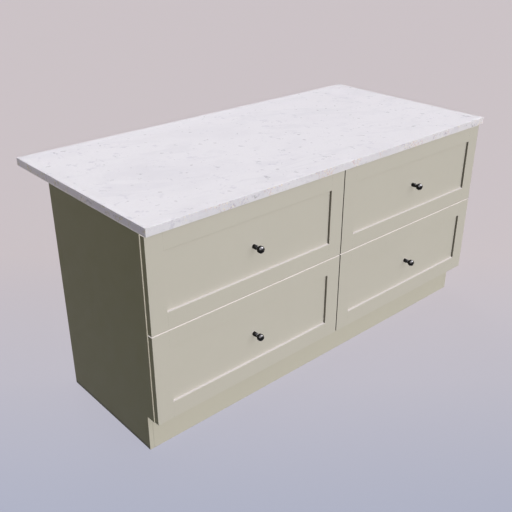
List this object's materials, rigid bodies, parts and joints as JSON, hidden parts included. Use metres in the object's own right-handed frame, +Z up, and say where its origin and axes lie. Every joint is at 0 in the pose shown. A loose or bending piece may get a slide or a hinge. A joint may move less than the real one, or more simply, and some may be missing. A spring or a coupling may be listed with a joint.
{
  "type": "kitchen island unit",
  "caption": "Free-standing kitchen island: stone worktop with a rear seating overhang on a painted cabinet of wide framed drawers with ball knobs, on a recessed plinth.",
  "frame": {"origin": "on the floor at the middle of the cabinet's footprint: midway between the end panels, and midway between the drawer faces and the finished back", "axes": "+X along the island to its right end, +Y from the drawer faces to the seating side, +Z up"},
  "size_m": [1.8, 0.89, 0.9],
  "materials": {
    "stone_top": "polished white stone with faint grey marbling and flecks, lightly honed edges",
    "painted_front": "satin paint in a warm stone grey on wood board",
    "painted_board": "satin paint in a warm stone grey on wood board",
    "carcass_board": "matt foil-faced carcass board in a warm grey",
    "box_wood": "clear lacquered birch, dovetailed",
    "box_base_ply": "clear lacquered birch plywood",
    "dowel_wood": "raw beech",
    "zinc_steel": "bright zinc plate",
    "dark_metal": "polished black chrome"
  },
  "bodies": {
    "root": {"worktop": "stone_top", "end_panel_left": "painted_board", "end_panel_right": "painted_board", "inner_side_left": "carcass_board", "inner_side_right": "carcass_board", "base_board_left": "carcass_board", "base_board_right": "carcass_board", "top_rails": "carcass_board", "unit_backs": "carcass_board", "back_panel": "painted_board", "plinth": "painted_board", "plinth_brackets": "zinc_steel", "cabinet_runners": "zinc_steel", "carcass_dowels": "dowel_wood", "connector_bolts": "zinc_steel", "carcass_screws": "zinc_steel"},
    "drawer_top_left": {"front_stiles_top_left": "painted_front", "front_rails_top_left": "painted_front", "front_panel_top_left": "painted_front", "knob_top_left": "dark_metal", "drawer_screws_top_left": "zinc_steel", "box_sides_top_left": "box_wood", "box_front_top_left": "box_wood", "box_back_top_left": "box_wood", "box_base_top_left": "box_base_ply", "drawer_runners_top_left": "zinc_steel"},
    "runner_slider_top_left": {"middle_runners_top_left": "zinc_steel"},
    "drawer_top_right": {"front_stiles_top_right": "painted_front", "front_rails_top_right": "painted_front", "front_panel_top_right": "painted_front", "knob_top_right": "dark_metal", "drawer_screws_top_right": "zinc_steel", "box_sides_top_right": "box_wood", "box_front_top_right": "box_wood", "box_back_top_right": "box_wood", "box_base_top_right": "box_base_ply", "drawer_runners_top_right": "zinc_steel"},
    "runner_slider_top_right": {"middle_runners_top_right": "zinc_steel"},
    "drawer_bottom_left": {"front_stiles_bottom_left": "painted_front", "front_rails_bottom_left": "painted_front", "front_panel_bottom_left": "painted_front", "knob_bottom_left": "dark_metal", "drawer_screws_bottom_left": "zinc_steel", "box_sides_bottom_left": "box_wood", "box_front_bottom_left": "box_wood", "box_back_bottom_left": "box_wood", "box_base_bottom_left": "box_base_ply", "drawer_runners_bottom_left": "zinc_steel"},
    "runner_slider_bottom_left": {"middle_runners_bottom_left": "zinc_steel"},
    "drawer_bottom_right": {"front_stiles_bottom_right": "painted_front", "front_rails_bottom_right": "painted_front", "front_panel_bottom_right": "painted_front", "knob_bottom_right": "dark_metal", "drawer_screws_bottom_right": "zinc_steel", "box_sides_bottom_right": "box_wood", "box_front_bottom_right": "box_wood", "box_back_bottom_right": "box_wood", "box_base_bottom_right": "box_base_ply", "drawer_runners_bottom_right": "zinc_steel"},
    "runner_slider_bottom_right": {"middle_runners_bottom_right": "zinc_steel"}
  },
  "joints": [
    {"name": "drawer_top_left_slide", "type": "slide", "parent": "root", "child": "drawer_top_left", "axis": [0, -1, 0], "range_m": [0, 0.5]},
    {"name": "drawer_top_right_slide", "type": "slide", "parent": "root", "child": "drawer_top_right", "axis": [0, -1, 0], "range_m": [0, 0.5]},
    {"name": "drawer_bottom_left_slide", "type": "slide", "parent": "root", "child": "drawer_bottom_left", "axis": [0, -1, 0], "range_m": [0, 0.5]},
    {"name": "drawer_bottom_right_slide", "type": "slide", "parent": "root", "child": "drawer_bottom_right", "axis": [0, -1, 0], "range_m": [0, 0.5]},
    {"name": "runner_top_left_slide", "type": "slide", "parent": "root", "child": "runner_slider_top_left", "axis": [0, -1, 0], "range_m": [0, 0.25]},
    {"name": "runner_top_right_slide", "type": "slide", "parent": "root", "child": "runner_slider_top_right", "axis": [0, -1, 0], "range_m": [0, 0.25]},
    {"name": "runner_bottom_left_slide", "type": "slide", "parent": "root", "child": "runner_slider_bottom_left", "axis": [0, -1, 0], "range_m": [0, 0.25]},
    {"name": "runner_bottom_right_slide", "type": "slide", "parent": "root", "child": "runner_slider_bottom_right", "axis": [0, -1, 0], "range_m": [0, 0.25]}
  ],
  "couplings": [
    {"joint": "runner_top_left_slide", "follows": "drawer_top_left_slide", "ratio": 0.5},
    {"joint": "runner_top_right_slide", "follows": "drawer_top_right_slide", "ratio": 0.5},
    {"joint": "runner_bottom_left_slide", "follows": "drawer_bottom_left_slide", "ratio": 0.5},
    {"joint": "runner_bottom_right_slide", "follows": "drawer_bottom_right_slide", "ratio": 0.5}
  ]
}
